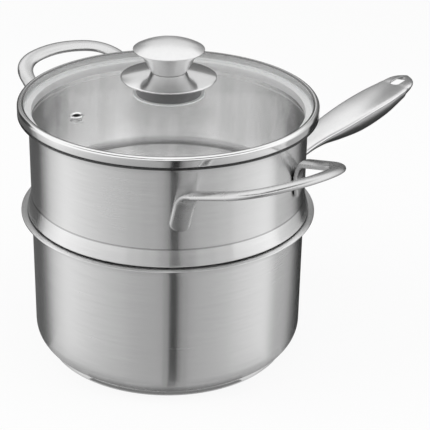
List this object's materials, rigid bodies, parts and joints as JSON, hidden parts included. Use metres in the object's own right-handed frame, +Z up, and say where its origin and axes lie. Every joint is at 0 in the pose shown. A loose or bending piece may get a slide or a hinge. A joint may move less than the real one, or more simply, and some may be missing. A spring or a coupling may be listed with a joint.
{
  "type": "saucepan with steamer insert",
  "caption": "Steel saucepan with a long hollow handle, a steamer insert with loop handles that seats in its lip, and a banded glass lid with vent and knob.",
  "frame": {"origin": "middle of the pan's underside, on the surface that it stands on", "axes": "+Z up along the axis of pan, steamer and lid; +X along the pan's long handle"},
  "size_m": [0.3991, 0.3182, 0.2361],
  "materials": {
    "satin_steel": "fine round brushing",
    "bright_steel": "polished",
    "core_aluminium": "plain",
    "clear_glass": "clear tempered",
    "black_rubber": "matte silicone",
    "clear_silicone": "translucent silicone",
    "dark_collar": "moulded, satin"
  },
  "bodies": {
    "pan": {"pan_shell": "satin_steel", "base_core": "core_aluminium", "base_cap": "bright_steel", "handle_bracket": "satin_steel", "handle_top": "satin_steel", "handle_belly": "satin_steel"},
    "steamer": {"steamer_shell": "satin_steel", "steamer_loop_front": "satin_steel", "steamer_loop_back": "satin_steel"},
    "lid": {"lid_band": "bright_steel", "band_seal": "clear_silicone", "lid_glass": "clear_glass", "vent_eyelet": "bright_steel", "knob_washer": "clear_silicone", "knob_collar": "dark_collar", "knob_skirt": "bright_steel", "knob_cap": "bright_steel", "knob_bush": "satin_steel", "under_washer": "black_rubber", "plate_washer": "satin_steel", "knob_screw": "satin_steel"}
  },
  "joints": [
    {"name": "steamer_lift", "type": "slide", "parent": "pan", "child": "steamer", "axis": [0, 0, 1], "range_m": [0, 0.08]},
    {"name": "lid_lift", "type": "slide", "parent": "steamer", "child": "lid", "axis": [0, 0, 1], "range_m": [0, 0.06]}
  ]
}
